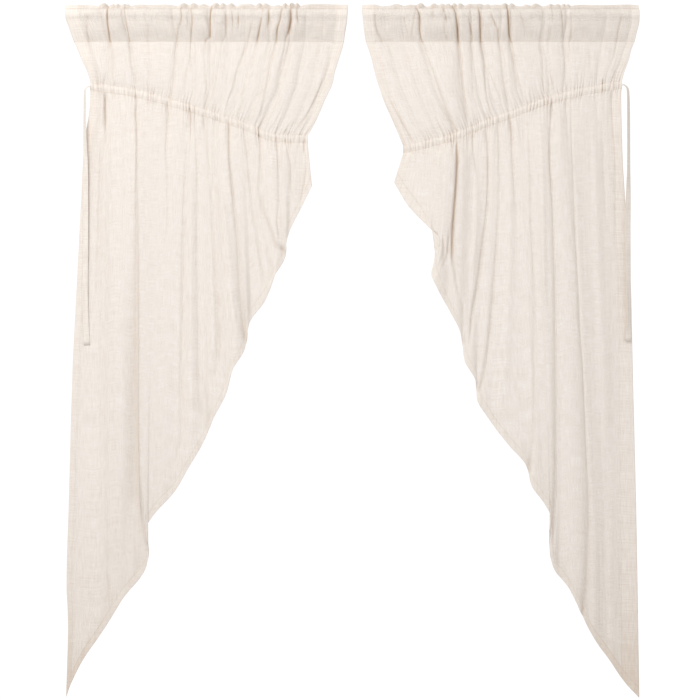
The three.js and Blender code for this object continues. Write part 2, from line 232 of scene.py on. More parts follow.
tape = tape_material()
for hand, side in SIDES.items():
    route = through([hang_point(side, *point[:3]) for point in TIE_ROUTES[hand]], TIE_RINGS_PER_POINT)
    turned = through([Vector((point[3], 0)) for point in TIE_ROUTES[hand]], TIE_RINGS_PER_POINT)
    rings, weave, run = [], [], 0.0
    for n, centre in enumerate(route):
        ahead = (route[min(n + 1, len(route) - 1)] - route[max(n - 1, 0)]).normalized()
        across = ahead.cross(Vector((0, -1, 0))).normalized()
        turn = side * math.radians(turned[n].x)
        across = across * math.cos(turn) + across.cross(ahead) * math.sin(turn)
        outward = across.cross(ahead)
        run += (centre - route[max(n - 1, 0)]).length
        ring, mapped = [], []
        for corner in range(TIE_CORNERS + 1):
            turn = 2 * math.pi * (corner % TIE_CORNERS) / TIE_CORNERS
            x, y = math.cos(turn), math.sin(turn)
            x = math.copysign(abs(x) ** TIE_SQUARENESS, x) * TIE_WIDTH / 2 * MM
            y = math.copysign(abs(y) ** TIE_SQUARENESS, y) * TIE_THICKNESS / 2 * MM
            ring.append(centre + across * x + outward * y)
            mapped.append((2 * TIE_WIDTH * MM * corner / TIE_CORNERS, run))
        rings.append(ring)
        weave.append(mapped)
    tie = cloth_grid(f"hanging_tie_{hand}", rings, weave, closed_across=True)
    tie.data.materials.append(tape)
    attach(tie, "root")
    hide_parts(f"tie_{hand}")

# The rods: plain turned wooden poles, painted grey, one in each pocket. They show only as a grey band through
# the open weave, and each ends just inside its pocket's open ends.
ROD_RADIUS = 17.3
ROD_ROUNDING = 1.5
ROD_SEGMENTS = 64
# The inner and the outer end, out from the middle of the pair
ROD_ENDS = {"left": (29.96, 881.63), "right": (29.96, 866.0)}
PAINT_DARK = (0.075, 0.073, 0.071, 1)
PAINT_LIGHT = (0.12, 0.118, 0.115, 1)
# How often in a metre the grain changes, along the rod and across it
GRAIN = (9, 260, 260)

paint, tree, shader = start_material("rod_paint")
grain = add(tree, "ShaderNodeTexCoord", {}).outputs["Object"]
grain = add(tree, "ShaderNodeVectorMath", {0: grain, 1: GRAIN}, operation="MULTIPLY").outputs[0]
grain = speckle(tree, grain, 1.0, 5.0).outputs[0]
finish_material(tree, shader, blend(tree, grain, PAINT_DARK, PAINT_LIGHT), grain,
                strength=0.25, relief=0.4, roughness=0.42, shine=0.5)

for hand, side in SIDES.items():
    inner, outer = ROD_ENDS[hand]
    pole = bmesh.new()
    bmesh.ops.create_cone(pole, cap_ends=True, segments=ROD_SEGMENTS, radius1=ROD_RADIUS * MM,
                          radius2=ROD_RADIUS * MM, depth=(outer - inner) * MM)
    rims = [e for e in pole.edges if abs(e.verts[0].co.z - e.verts[1].co.z) < 1e-6]
    bmesh.ops.bevel(pole, geom=rims, offset=ROD_ROUNDING * MM, segments=3, affect="EDGES", profile=0.5,
                    material=-1)
    for corner in pole.verts:
        x, y, z = corner.co
        corner.co = (z + side * (inner + outer) / 2 * MM, y, -x)
    bmesh.ops.recalc_face_normals(pole, faces=pole.faces)
    rod = as_piece(f"pole_{hand}", pole, lambda face: len(face.vertices) == 4)
    rod.data.materials.append(paint)
    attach(rod, "root")
    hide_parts(f"rod_{hand}")

# The panels: one unlined width each of open, natural burlap, folded to the back over its rod and stitched
# twice, which leaves a small ruffle. A channel draws the cloth in along a slant, and below it the cloth hangs
# in uneven folds. Its side hems and its slanting hem are turned to the back and stitched.
CLOTH = 0.8
HEM_THICKNESS = 2.0
SIDE_HEM = 30
SLANT_HEM = 15
# How far it is to the slanting hem, for each mm straight down to it
SLANT_OF_HEM = 0.43
FACE_AT_STITCH = 2.0
POCKET_RADIUS = 20.8
HEADER_STITCH = 20.5
HEADER_TOP = 30
POCKET_STITCH = 80
CHANNEL_HEIGHT = 24
COLUMNS = 400
# The front view is 700 wide, with this many mm to one of its parts, and these parts for the pair's middle and
# the rods
PART = 3.066
MIDDLE_AT = 355
RODS_AT = 15

PANELS = {
    "left": {
        # down, out
        "outer_side": """
          -34 889, 9 886, 37 877, 74 865, 101 855, 138 843, 175 828, 212 820, 236 812, 290 815, 395 831,
          580 841, 800 852, 1100 867, 1500 878, 1750 885, 1860 880, 2091 886""",
        "inner_side": "-34 21, 18 25, 55 31, 83 34, 129 46, 175 59, 212 66, 248 82, 322 113, 377 143",
        # out, down
        "channel": "812 218, 678 238, 573 265, 457 300, 337 340, 245 374, 145 380",
        # down, out
        "hem": """
          2091 886, 2051 871, 1978 834, 1904 782, 1794 708, 1689 632, 1646 625, 1579 635, 1536 613,
          1462 549, 1389 506, 1315 463, 1242 432, 1162 392, 1095 374, 1021 334, 947 322, 874 273,
          800 245, 745 215, 690 208, 579 159, 524 132""",
        # out at the channel, down at the hem: the steep piece of hem where a fold lies over it
        "steep_hem": "602 1689, 592 1579",
        # out, how far the ruffle's loops rise over its plain height
        "ruffle": """
          889 0, 850 2, 815 1, 790 -1, 768 9, 756 -1, 742 5, 735 1, 730 7, 718 0, 706 6, 700 1, 697 5,
          690 -1, 659 3, 630 1, 583 3, 545 -1, 524 9, 509 0, 495 9, 480 0, 466 5, 445 -1, 425 10, 415 1,
          406 9, 393 0, 380 9, 364 -2, 345 4, 318 4, 306 -1, 293 10, 284 2, 276 8, 254 -2, 235 1,
          225 -1, 215 9, 204 0, 193 13, 184 2, 178 10, 168 -1, 150 3, 110 5, 60 3, 21 2""",
        # out at the pocket and at the channel, down at the hem; depth at the pocket, skirt, tail and hem
        "folds": """
          816 788 2039 4 7 8 8, 754 766 1886 15 9 12 10, 693 671 1757 12 9 26 16,
          546 573 1540 11 9 22 14, 497 506 1470 6 8 20 16, 442 460 1315 16 8 12 15,
          389 426 1180 7 5 14 22, 334 386 1021 6 10 22 28, 260 336 930 13 9 8 10,
          199 293 850 18 14 16 14, 153 238 752 4 9 16 26, 101 198 668 3 7 8 10,
          60 165 590 3 6 6 6""",
    },
    "right": {
        "outer_side": """
          -34 871, 18 871, 49 865, 80 858, 107 849, 138 843, 175 831, 212 823, 236 817, 432 821,
          537 827, 659 836, 812 846, 1119 853, 1487 862, 1763 867, 2094 872""",
        "inner_side": "-34 21, 18 25, 46 28, 83 34, 120 46, 175 59, 248 81, 322 113, 408 148",
        "channel": "819 213, 763 221, 598 259, 478 304, 405 330, 297 374, 148 411",
        "hem": """
          2094 872, 2051 831, 1978 779, 1904 727, 1830 690, 1757 653, 1689 604, 1628 592, 1542 598,
          1499 579, 1438 537, 1389 527, 1315 466, 1242 411, 1168 371, 1131 371, 1058 334, 984 325,
          911 291, 837 251, 794 233, 727 254, 690 261, 653 227, 579 159, 512 120""",
        "steep_hem": "553 1689, 545 1542",
        "ruffle": """
          871 0, 840 3, 760 1, 700 2, 677 1, 663 -1, 653 5, 648 1, 641 7, 632 0, 624 5, 612 1, 601 5,
          589 0, 576 -2, 566 2, 554 7, 540 0, 524 3, 510 -2, 494 -1, 480 8, 472 1, 460 9, 447 2, 429 3,
          418 0, 408 4, 397 1, 383 6, 366 4, 352 6, 337 0, 322 8, 314 1, 304 10, 296 0, 288 8, 279 2,
          267 7, 255 0, 242 9, 231 -1, 218 -3, 202 10, 187 1, 172 3, 150 -1, 126 5, 110 0, 83 -2, 60 3,
          21 1""",
        "folds": """
          837 793 2039 3 5 8 8, 760 742 1962 5 7 8 8, 641 650 1879 15 8 18 14,
          576 604 1732 6 10 24 14, 475 514 1500 17 10 16 14, 446 478 1400 8 8 16 16,
          388 442 1250 15 9 9 10, 356 405 1150 12 7 16 20, 316 350 1020 18 14 10 16,
          202 307 890 14 15 32 18, 150 259 757 3 8 12 34, 100 218 635 2 6 10 8,
          58 172 537 3 5 6 6""",
    },
}

# Creases listed as they show from the front: across, down, in parts of the front view, depth and half
# width in mm. One that stands out as a soft ridge has a depth below 0. A half width below 0 is that of the
# flank on the left alone, and the one on the right is crisp. What a point leaves out is as at the last one.
CREASES = {
    "left": """
    88 18 3 5, 87 28 4 3.5, 88.5 40, 92 55 3, 96 72, 98.5 82 5 3;
    108 8 5 3, 108 20 9 3.5, 109.5 38 10, 110.5 45 5 5, 111.5 60 4 6, 112 75 2.5 4, 115 84 2 3;
    124.5 8 3 3, 125.5 16 3.5, 129 38 4, 130.5 50 2 4.5, 132 65, 135 80 2 3.5, 136 88 1 3;
    149 26 1.5 4, 148 40 3 6, 149.5 60, 150 78 3 5, 149 88 1.5 4;
    181 9 4 3, 182 18, 178.5 30 4 4, 177 40 3.5 5, 175 62 3 4.5, 173 80 3.5 3.5, 171 94 2.5 3;
    187.5 17 1 3, 188 22 3, 187 30 1 4;
    191 9 3 3, 192.5 20 5, 191 38 4, 190.5 55 2.5 4, 187 72, 184 90 2.5 3;
    211.5 8 6 3, 210.5 20 9, 210 36 10 3.5, 206 40 5 4, 204.5 55 3 5, 205.5 70 2 4, 207 86 3 3.5, 204 100 2 3;
    226 14 3 3, 226.5 22 5 3.5, 226 34 3 4, 222 42 2.5, 219 62, 215 85, 213 105 1.5 3;
    232 14 2 2.5, 233 21 4 3, 233 30 1 4;
    238.5 17 3 2.5, 238.5 21 6 3, 238.5 26 2;
    252 24 2 4, 248 40 3.5 4.5, 243 55 4 4, 237 72, 233 88, 227 104 4 3.5, 225 116 3 3;
    261.5 21 5 3, 258.5 35 8 3.5, 256 46 3.5 5, 250 62 2.5, 245 82, 241 104 2.5 4, 237 116 3.5 3;
    262 4 2 2.5, 263 12;
    269 11 4 3, 269 20 7, 268 26 4 4;
    282 10 5 3, 280.5 20 6, 277.5 30 9 3.5, 276.5 40 6 4, 273 52 5 5, 269 68 6, 267 82 5 4, 264 96 5 3.5,
        262 108 5 3, 260 118 4 2.5;
    290.5 3 8 3, 291 8 4, 291 17 9 4, 288.5 32 11 4.5, 286 38 5 5, 285 48 2.5, 282 60, 278 85 2 6,
        275 110 2 5;
    297 10 3 2.5, 297.5 19 5, 299 26 1 3;
    330 45 1 3, 328 68 2, 322 83 5 4, 316 98 6, 307 115, 299 126 5 3.5, 293 134 4 3;
    297 122 3 3, 290 127 5 4, 284 132 3 3;
    282 110 1 4, 277 119 2, 275 130 0.5 3;
    105 96 9 3, 105 110 11 3.5, 105 122 9 3, 105 135 5 3.5, 105 145 2 4;
    100 150 3 4, 98.5 190 4, 97 250 4 5, 96 300 2;
    108 142 1.5 3, 111 165 2 4, 112 200 1.5 5, 114 235 1;
    118 96 1.5 3, 120 108 2 3.5, 125 130 1.5 4, 128 150 0.5 5;
    131 95 2.5 2.5, 132 98 0.8;
    135 97 6 -2.5, 136.5 103 3, 135.5 112 7 -3, 136.5 130 8 -3.2, 137 150 6, 137 180 6 -5, 137.5 210 8 -10,
        138 240 11 -17, 138.5 280 15 -24, 138.5 330 18 -31, 138.5 400 20 -38, 139.5 480 21 -46,
        141.5 508 17 -50, 145 530 11, 148.5 553 4 -40;
    167.5 104 7 2.5, 168 112 4, 167 130 3.5 3, 166 150 3, 167.5 180 2.5, 168 210 2 3.5, 166 240 1 4;
    190 108 8 2.2, 190.5 118 7, 190.5 132 3 2.5, 190.5 142 1 3;
    194.5 108 8 2.2, 194.5 118 4, 196 145 2.5 3, 197.5 175 2.5 4, 197.5 240 3 6, 198 300, 198.5 360 3.5,
        200 400 4 7, 205 425 4 8;
    187 150 1 3, 184.5 190 2.5 4, 183 250 3.5 5, 182 300 4, 181 360, 180.5 410 4 6, 180 435 4.5, 176 455 4,
        172 470 0.5 5;
    191 165 -2 12, 191.5 220 -7 17, 191 300 -10 20, 191.5 380 -11 22, 193 430 -8 20, 197 452 -2 14;
    108 150 -2 15, 112 240 -6 30, 117 300 -9 40, 120 380 -11 48, 121 460 -11 50, 118 530 -8 40, 112 560 -3 30;
    203 116 3 2.5, 205 130 2 3, 208 160 2.5 4, 211 200 3 5, 213 240 3.5, 215 280 4.5 6, 217 315 6 7,
        218.5 345 7 9, 215 368 6 8, 210 380 1 6;
    211 130 -1 6, 216 165 -3 10, 223 205 -7 14, 228 250 -10 18, 231 290 -11 20, 235 325 -8 18, 241 348 -3 12;
    228 122 6 3, 229 132 6 2.5, 229 150 7 3, 230 165 7 3.5, 232 185 7 4.5, 235 215 5.5 6, 238 250 5 7,
        240 290 5 8, 243 320 8 9, 246 340 9 8;
    244 132 2 2.5, 247 155 3 3.5, 249.5 185 3 4, 253 215 3 4.5, 258 245 3.5, 262 272, 263 285 1 5;
    253 165 -1 6, 256.5 200 -1.5 7, 262 228 -2, 269 250 -2 8, 273 266 -1;
    258 131 6 3, 260 140 5 2.8, 260 160 4 3.5, 259 185 3 4.5, 262 206 3.5 5, 269 226 6 6, 275 242 9 8,
        283 250 11 9;
    277 139 2.5 2.5, 277.5 150 3 3, 278.5 175 3.5 3.8, 279 200 3 4, 277.5 220, 279 233 5 6;
    285 140 4 2.2, 288 153 2.5 3, 291 168 3 4, 291 185 3 4.5, 294 197 1 5;
    291 141 5 2.2, 291 148 1 2.5;
    299 141 2 2.2, 298 150 0.5 2.5;
    304 140 7 2, 304 150 4;
    306 170 3 4, 304 186 4 5, 301 198 3 4;
    204 380 2 6, 206 405 4 9, 209 430 6;
    108 545 1 5, 107 575 2.5, 104 600 2;
    110 588 2 3, 106 600 5, 102 613, 100 618 1""",
    "right": """
    375 16 3 4, 376 26 3.5, 378 34 4, 382 40 3;
    404 18 2 3, 406 28, 409 36 1;
    416 8 5 2.5, 419.5 18 7 3, 419.5 28 7 3.2, 420.5 36 6 3, 424 46 4.5 3.5, 429 60 4, 434 75 4 4, 439 90 5,
        444 105 4 3.5, 450 119 4.5 3, 454 128 3;
    415 12 2 2.5, 413 24 2.5 3, 411 36 1.5;
    431.5 5 2 2.5, 432 18;
    443 10 4 2.5, 445 20 8, 444.5 32 5 3, 447 40 3;
    451.5 4 7 3, 455 14 8 3.2, 457 26 11 3.6, 458 38 12 4, 459 46 6, 460 60 6 4.5, 461.5 75 6.5, 463 90 7 4,
        465 104 5 4.5, 467 116 3 4;
    468.5 21 3 2.5, 470 28 4.5 3, 472 37 4.5 3.5, 471 46 2 5, 472 62, 472.5 80 2 4, 473 98 1.5;
    478 9 4 2.5, 479.5 18 9 3.5, 480 30 11 4, 480.5 39 9, 483 52 4.5 5, 485 68 4, 485.5 85 4 4, 488 102 4 3.5,
        491 116 3.5 3;
    484.5 64 1 3, 491 76 3, 497 90 3.5, 502 102 3;
    491 17 3 2.5, 494.5 24 6 2.8, 497 30 3 3;
    498 31 3 2.5, 498.5 39 4.5 3.2, 500 48 3 5, 501.5 62 2.5, 504 80, 506 95 2.5 4, 509 108 2.5 3;
    507 8 7 3, 508 20 12 4, 509 34, 511 41 6, 513.5 55 4.5 5, 516 70 4, 519 84, 523 98, 526 108 2 4;
    520 16 2 3, 522 21 3, 524 30 1 4;
    542 14 1.5 3, 541.5 26, 540 38 2.5 3.5, 541 50 2.5 4.5, 543 66 2.5 5, 543 80 3 4, 544 92 4 3, 547.5 101 3;
    551.5 6 2 2.5, 552 20 2.5;
    549 30 2 5, 548 45 2.5 6, 549 65 2, 552.5 82 4 3.5, 553.5 90 2.5 3;
    560 8 2 2.5, 561.5 18 4.5 2.8, 562.5 32 3, 564 45 2 5, 565 60 2 6, 565.5 75 2 5, 563 88 1 4;
    571 17 3 5, 571 36 4 6, 569 45 3 3.5, 568.5 60 2.5 4;
    590 50 2 9, 591 70;
    620.5 20 3 3, 618 32 4 3.5, 616.5 44 4 3.2, 614 56 2.5, 608 74 1.5 4;
    597 84 1 2.5, 598 93 2;
    603 83 6 2.5, 603 92 4;
    388 95 2 3, 395 108 4 3.5, 402 122 5, 410 136, 415 143 2 3;
    384 98 2 6, 393 118 4 7, 401 134, 407 148 5 5;
    386 58 1 3, 396 72 2 3.5, 404 82 1 4;
    432 100 1 5, 436 118 2.5 4, 442 131 3 3.5, 447 139 3 3;
    451 135 6 2, 452 145 2 2.2;
    457 133 6 2.5, 456.5 141 6 2.2, 456.5 147 10 2.8, 457 158 15 4.2, 456.5 172 17 4.6, 455.5 190 16 4.4,
        454 210, 452.5 230 16 4.8, 452 248 15 5, 452 258 10 4, 453 264 5 3, 455 280 5 2.8, 459 296, 464 309,
        468 316 3 3;
    443 240 5 5, 444 252 8 8, 440 262 7 7, 436 270 3 5;
    449 236 4 5, 448 250 7 6, 444 262 6 5, 440 270 2 4;
    472.5 127 8 3, 472.5 140 6, 473 150 3, 476 168 1 4;
    485 122 5 2.5, 486 130 4, 487.5 150 5 3, 488 175 6 3.5, 487 205 5 4, 484 232 6 5, 481 258 7 6.5,
        478 282 8 7, 474 303, 471 322 7 6, 470 340 3;
    474 160 -2 10, 476 195 -5 14, 475.5 235 -7 16, 472 268 -5 13;
    498 128 2.5 2.5, 499 155 3 3.5, 499 190 3 4, 497.5 230 4 4.5, 495 265 4.5 5.5, 492.5 300 5 6, 490 330 6 7,
        487 355 7, 484 372 8 8, 480 386 9 7;
    508 145 -1 10, 510 200 -5 15, 510 250 -7 17, 508 300 -7 18, 506 340 -6, 504 380, 502 410 -4 14;
    510 116 3 3, 511 126 6 2.6, 511.5 140 5 2.8, 512 155 3 3.5, 514 185 2.5 4, 516 220 1 5;
    522 116 -1.5 4, 522 135 -1 5;
    528 125 2 3.5, 530 165 2.5 5, 531 220 2.5 5.5, 533 270 2.5 5, 534 330 2 6, 534 400 3 8, 533 435 5,
        529 465 7 7, 528 480 8 6;
    540 110 -1 9, 542 170 -4 13, 543 240 -5, 544 300 -3 10;
    547.5 102 1.5 2.6, 547.5 107;
    551.5 100 6 -2.6, 551.5 108 5 -2.4, 550.5 125 3 -2.5, 549.5 142 5 -3.2, 549.5 158 7 -4.4,
        550.5 178 6.5 -4.6, 552 200 5 -5, 553.5 240 5 -7, 555 290 5.5 -9, 555.5 340 5.5 -10, 556 400,
        556 450 6, 556 480 8, 554.5 505 10 -9, 553 530 9 -7;
    565.5 100 1 3, 566 112 0.3;
    571 96 2 2.6, 571 110 2.5 3, 571.5 140 2.5 4, 573 180 2.5 5, 574.5 220 3 5.5, 576.5 260, 578.5 300 3.5 6,
        580 335 4.5, 582 360 4 4, 584 400 4 5, 586 450 4.5 6, 588 490 5 9, 589 530 6 12, 587 570 7 10,
        584 600 9 9, 581 620 10 7;
    594 110 -1 12, 596 180 -4 18, 598 250 -5 22, 602 320, 605 400 -4, 607 450 -2 18;
    602 120 1.5 8, 604 180 2 9, 606 220 1 8;
    611.5 92 2.5 2.6, 612.5 115 2.5 2.8, 614 140 3, 615.5 165 3 3, 615.5 200 2.5 3.2, 615 245 1.5 3.5;
    620 560 1.5 6, 620 590 2 7, 614 615 2 6;
    611 560 -1 6, 606 600 -1.5 7, 600 625 -1 6""",
}
# In how many parts a crease ends, and in how many half widths, how wide a crisp flank is, the half width past
# which a crease's painted shade is no fainter, how much of its depth the cloth takes, and the furthest back
# it goes
CREASE_END = 3.0
CREASE_REACH = 5
CRISP = 2.5
FAINTEST_SHADE_WIDTH = 20
LEFT_OF_CREASE = 0.62
DEEPEST = 12.0

# What is left of a gather's height at the stitching and on the back, how far the skirt swells, and by what
# share of its length the tail has opened
LEFT_AT_POCKET = 0.55
LEFT_AT_CHANNEL = 0.5
SKIRT_SWELL = 0.7
BACK_BULGE = 0.35
TAIL_OPEN = 0.13
# How wide each side of a trough is: narrow at the sewing, wide at the hem
TUCK_WIDTH = 4.5
SKIRT_WIDTH = 12.0
GATHER_WIDTH = 4.5
TAIL_WIDTH = 20.0
HEM_WIDTH = 26.0
# How far down the tail the channel's narrow gathers still show
GATHERS_FADE = 60
# How much of a trough's depth is left in each place, how round its bottom is, and how sharp it is at least
LEFT_IN_BELLY = 0.3
LEFT_AT_SEWING = 0.6
LEFT_IN_TAIL = 0.03
LEFT_AT_HEM = 0.28
TROUGH_ROUNDING = 0.05
TAIL_ROUNDING = 0.35
LEAST_POWER = 1.6

# The pocket's rows: shares of the ruffle's height, degrees round the rod, and down below the rods
RUFFLE_ROWS = (0, 0.3, 0.6, 0.85, 1)
ROWS_ROUND_ROD = range(75, -36, -11)
ROWS_BELOW_ROD = (21, 30, 39, 48, 57, 65, 72, 77, POCKET_STITCH)
# The pocket's front below the rod, as down and forward, what it has of a gather's height on the rod, and from
# where down the stitching flattens it
FRONT_BELOW_ROD = ((14, 16.2), (46, 10.5), (66, 5.6), (POCKET_STITCH, FACE_AT_STITCH))
GATHERS_ON_ROD = 0.8
FLATTENED_FROM = 46
# How far the ruffle's loops can rise, the height in the table from which they are level on top, the one that
# stays in the middle, how far a crease takes the ruffle back, and how round its fold is
LOOP_TOP = 6.5
LOOP_LEVEL = 14
LOOP_MIDDLE = 2.5
CREASE_IN_RUFFLE = 7
RUFFLE_FOLD = 0.7

SKIRT_ROWS = 24
CHANNEL_ROWS = 8
TAIL_ROWS = 46
HEM_ROWS = (0.05, 0.5, 0.93, 1.0)
# The hem's rows take no more than this share of a short column, the tail's rows crowd towards the channel by
# one power, and a steep hem is reached over the last of a column's length by the other
HEM_SHARE = 0.35
TAIL_CROWDING = 1.5
STEEP_POWER = 12


def mix(a, b, share):
    """The value that lies this share of the way from one to the other."""
    return a + (b - a) * share


def table(text):
    """The rows of numbers in a text. What a row leaves out is as in the row before."""
    rows = [()]
    for row in text.split(","):
        numbers = tuple(map(float, row.split()))
        rows.append(numbers + rows[-1][len(numbers):])
    return rows[1:]


def curve(pairs):
    """A smooth line through (place, value) pairs, which never goes past them."""
    pairs = sorted(pairs)
    places, values = [p for p, _ in pairs], [v for _, v in pairs]
    slopes = [(v1 - v0) / (p1 - p0) for (p0, v0), (p1, v1) in zip(pairs, pairs[1:])]
    leans = [2 * a * b / (a + b) if a * b > 0 else 0.0 for a, b in zip(slopes, slopes[1:])]
    leans = [slopes[0], *leans, slopes[-1]]

    def value_at(place):
        if place <= places[0]:
            return values[0]
        if place >= places[-1]:
            return values[-1]
        k = bisect.bisect_right(places, place) - 1
        gap = places[k + 1] - places[k]
        t = (place - places[k]) / gap
        return (values[k] * (1 + 2 * t) * (1 - t) ** 2 + leans[k] * gap * t * (1 - t) ** 2
                + values[k + 1] * t * t * (3 - 2 * t) + leans[k + 1] * gap * t * t * (t - 1))

    return value_at


def pocket_section():
    """The pocket's front from its top down: forward, down, share of the gathers and of the ruffle."""
    rows = [(FACE_AT_STITCH, mix(-HEADER_TOP, -HEADER_STITCH, t), 0, 1 - t) for t in RUFFLE_ROWS]
    for angle in ROWS_ROUND_ROD:
        turn = math.radians(angle)
        forward, down = POCKET_RADIUS * math.cos(turn), -POCKET_RADIUS * math.sin(turn)
        rows.append((forward, down, min(GATHERS_ON_ROD, GATHERS_ON_ROD * (90 - angle) / 45), 0))
    front = curve(FRONT_BELOW_ROD)
    for down in ROWS_BELOW_ROD:
        flattened = max(0, down - FLATTENED_FROM) / (POCKET_STITCH - FLATTENED_FROM)
        rows.append((front(down), down, mix(1, LEFT_AT_POCKET, flattened), 0))
    return rows


def fold_columns(panel):
    """Where each column of the cloth crosses pocket, channel and hem, and how it lies between troughs."""
    outer, inner = curve(panel["outer_side"]), curve(panel["inner_side"])
    folds = panel["folds"]
    start, end = panel["channel"][0][0], panel["channel"][-1][0]
    lines = [(outer(POCKET_STITCH), start, panel["hem"][0][0]), *(fold[:3] for fold in folds),
             (inner(POCKET_STITCH), end, panel["hem"][-1][0])]
    pocket = curve((at, out) for out, at, _ in lines)
    hem_line = curve(panel["hem"])
    even_hem = curve((at, down) for _, at, down in lines)
    even_out = curve((at, hem_line(down)) for _, at, down in lines)
    hem = curve([*((at, down) for _, at, down in lines), *panel["steep_hem"]])
    crests = []
    for level in (3, 4, 5, 6):
        tops = [((a[1] + b[1]) / 2, (a[level] + b[level]) / 2) for a, b in zip(folds, folds[1:])]
        crests.append(curve([(start, folds[0][level] / 2), *tops, (end, folds[-1][level] / 2)]))
    columns = []
    for i in range(COLUMNS + 1):
        at = mix(start, end, i / COLUMNS)
        near = min(folds, key=lambda fold: abs(fold[1] - at))
        k = folds.index(near)
        beyond = k - 1 if at > near[1] else k + 1
        if 0 <= beyond < len(folds):
            reach = abs(folds[beyond][1] - near[1]) / 2
        else:
            reach = abs((start if at > near[1] else end) - near[1])
        columns.append({"at": at, "pocket": pocket(at), "hem": hem(at), "even_hem": even_hem(at),
                        "hem_out": hem_line(hem(at)), "even_out": even_out(at),
                        "crest": [crest(at) for crest in crests], "trough": near[3:7],
                        "off": abs(at - near[1]), "reach": reach})
    return columns


def stands_out(column, level, width, left, rounding=TROUGH_ROUNDING):
    """How far the cloth stands out, from a call that picks its crests' and troughs' level at this height, how
    wide each side of a trough is, how much of its depth is left, and how round it is."""
    crest = level(column["crest"])
    trough = min(level(column["trough"]) * left, crest)
    off = min(column["off"] / column["reach"], 1)
    rounded = (math.hypot(off, rounding) - rounding) / (math.hypot(1, rounding) - rounding)
    return crest - trough * (1 - rounded) ** max(LEAST_POWER, column["reach"] / width)


def lay_creases(hand, side):
    """A call that tells how deep the listed creases are at a place out and down, and how much painted shade
    they give.
    """
    crossing = {}
    for line in CREASES[hand].split(";"):
        crease = table(line)
        place, depth, width = (curve((point[1], point[k]) for point in crease) for k in (0, 2, 3))
        top, bottom = crease[0][1], crease[-1][1]
        for n in range(int(top - 3 * CREASE_END), int(bottom + 3 * CREASE_END) + 1):
            within = min(max(n, top), bottom)
            left = math.exp(-((n - within) / CREASE_END) ** 2)
            crossing.setdefault(n, []).append((place(within), depth(within) * left, width(within)))

    def at_part(across, n):
        deep = dark = 0.0
        for place, depth, width in crossing.get(n, ()):
            off = (across - place) * PART
            flank = min(CRISP, -width) if width < 0 < off else abs(width)
            if abs(off) < CREASE_REACH * flank:
                share = 1 / (1 + (off / flank) ** 2) ** 2
                deep += depth * share
                # painted shade: the deeper and narrower a crease, the darker the cloth's colour is made in it
                dark += max(0.0, depth) / min(abs(width), FAINTEST_SHADE_WIDTH) * share ** 1.5
        return Vector((deep, dark))

    def creased(out, down):
        across, n = MIDDLE_AT + side * out / PART, math.floor(RODS_AT + down / PART)
        return mix(at_part(across, n), at_part(across, n + 1), RODS_AT + down / PART - n)

    return creased


